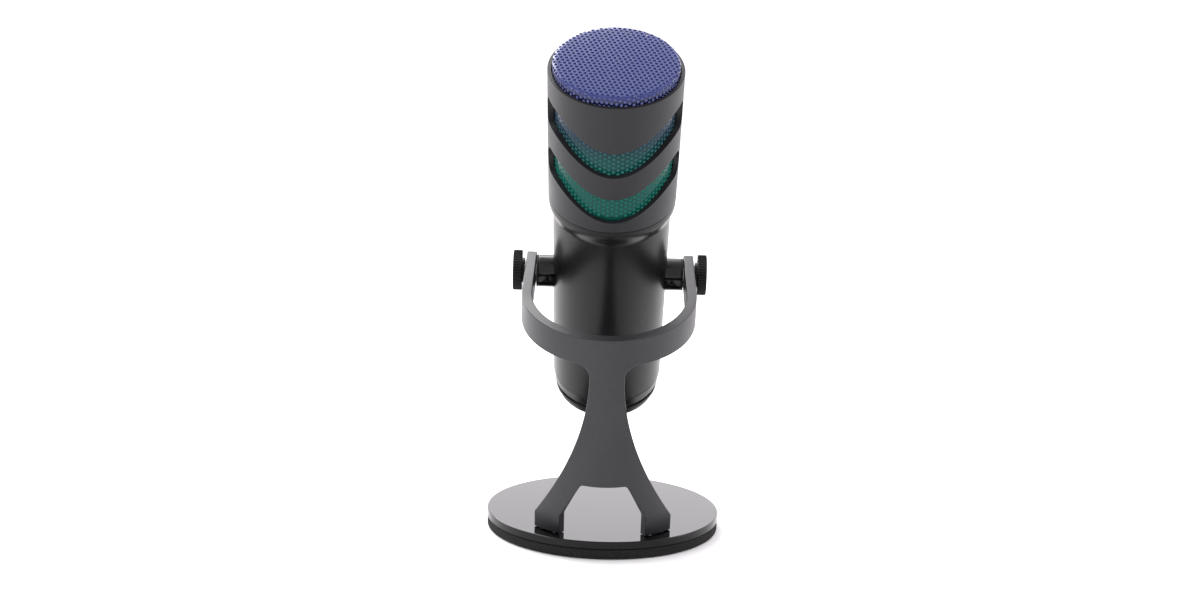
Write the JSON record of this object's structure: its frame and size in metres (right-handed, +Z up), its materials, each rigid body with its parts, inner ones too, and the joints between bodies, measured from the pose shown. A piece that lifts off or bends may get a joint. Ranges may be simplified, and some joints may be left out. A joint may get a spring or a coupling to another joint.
{
  "type": "desktop microphone",
  "caption": "Desktop microphone with a perforated light-up head, held by thumb screws in a bent-sheet yoke stand on a round weighted base.",
  "frame": {"origin": "middle of the underside of the round base, on the desk", "axes": "+Z up; +Y towards the person the microphone faces, so the stand is on the -Y side; X along the pivot axis of the yoke"},
  "size_m": [0.1012, 0.1491, 0.2204],
  "materials": {
    "dark_paint": "satin dark grey paint",
    "stand_paint": "fine-textured dark grey powder coat",
    "base_gloss": "gloss black lacquer on steel",
    "black_rubber": "matt closed-cell rubber",
    "black_plastic": "fine matt",
    "grey_plastic": "moulded",
    "zinc_steel": "zinc plated",
    "brass": "turned",
    "grille_blue": "perforated sheet, blue tint",
    "grille_teal": "perforated sheet, teal tint",
    "foam": "open-cell foam",
    "circuit_board": "solder mask",
    "chip": "epoxy",
    "lamp": "clear resin",
    "light_pipe": "tinted clear resin"
  },
  "bodies": {
    "stand": {"base_pad": "black_rubber", "base_plate": "base_gloss", "stand_yoke": "stand_paint", "foot_screw_1": "zinc_steel", "foot_screw_2": "zinc_steel", "foot_screw_3": "zinc_steel", "foot_screw_4": "zinc_steel"},
    "microphone": {"audio_chip": "chip", "board_screw_1": "zinc_steel", "board_screw_2": "zinc_steel", "body_tube": "dark_paint", "capsule": "brass", "capsule_cradle": "black_plastic", "capsule_stem": "grey_plastic", "end_cap": "black_plastic", "foam_windscreen": "foam", "gain_sensor": "chip", "grille_cap": "grille_blue", "grille_sleeve": "grille_teal", "head_light_1": "lamp", "head_light_2": "lamp", "head_light_3": "lamp", "head_light_4": "lamp", "head_light_5": "lamp", "head_light_6": "lamp", "head_light_7": "lamp", "head_light_8": "lamp", "head_shell": "dark_paint", "headphone_jack": "black_plastic", "inner_frame": "grey_plastic", "left_friction_washer": "black_rubber", "left_pivot_insert": "brass", "left_spacer_sleeve": "dark_paint", "light_board": "circuit_board", "light_pipe": "light_pipe", "main_board": "circuit_board", "mute_switch": "chip", "neck_ring": "dark_paint", "neck_screw_1": "zinc_steel", "neck_screw_2": "zinc_steel", "neck_screw_3": "zinc_steel", "right_friction_washer": "black_rubber", "right_pivot_insert": "brass", "right_spacer_sleeve": "dark_paint", "shock_ring": "black_rubber", "socket_board": "circuit_board", "status_lamp": "lamp", "tail_screw_1": "zinc_steel", "tail_screw_2": "zinc_steel", "tail_screw_3": "zinc_steel", "usb_socket": "zinc_steel"},
    "left_knob": {"left_thumb_knob": "black_plastic", "left_knob_stud": "zinc_steel"},
    "right_knob": {"right_thumb_knob": "black_plastic", "right_knob_stud": "zinc_steel"},
    "gain_ring": {"gain_ring": "dark_paint"},
    "mute_button": {"mute_button": "black_plastic"}
  },
  "joints": [
    {"name": "mic_tilt", "type": "hinge", "parent": "stand", "child": "microphone", "pos_m": [0, -0.02453, 0.11674], "axis": [1, 0, 0], "range_deg": [-40, 45]},
    {"name": "left_knob_turn", "type": "hinge", "parent": "microphone", "child": "left_knob", "pos_m": [0, -0.02453, 0.11674], "axis": [-1, 0, 0], "range_deg": [0, 360]},
    {"name": "right_knob_turn", "type": "hinge", "parent": "microphone", "child": "right_knob", "pos_m": [0, -0.02453, 0.11674], "axis": [1, 0, 0], "range_deg": [0, 360]},
    {"name": "gain_ring_turn", "type": "hinge", "parent": "microphone", "child": "gain_ring", "pos_m": [0, 0.00317, 0.06876], "axis": [0, -0.5, 0.866], "range_deg": [-135, 135]},
    {"name": "mute_press", "type": "slide", "parent": "microphone", "child": "mute_button", "axis": [0, -0.866, -0.5], "range_m": [0, 0.0005], "stiffness_N_per_m": 900, "springref_m": -0.0005}
  ]
}
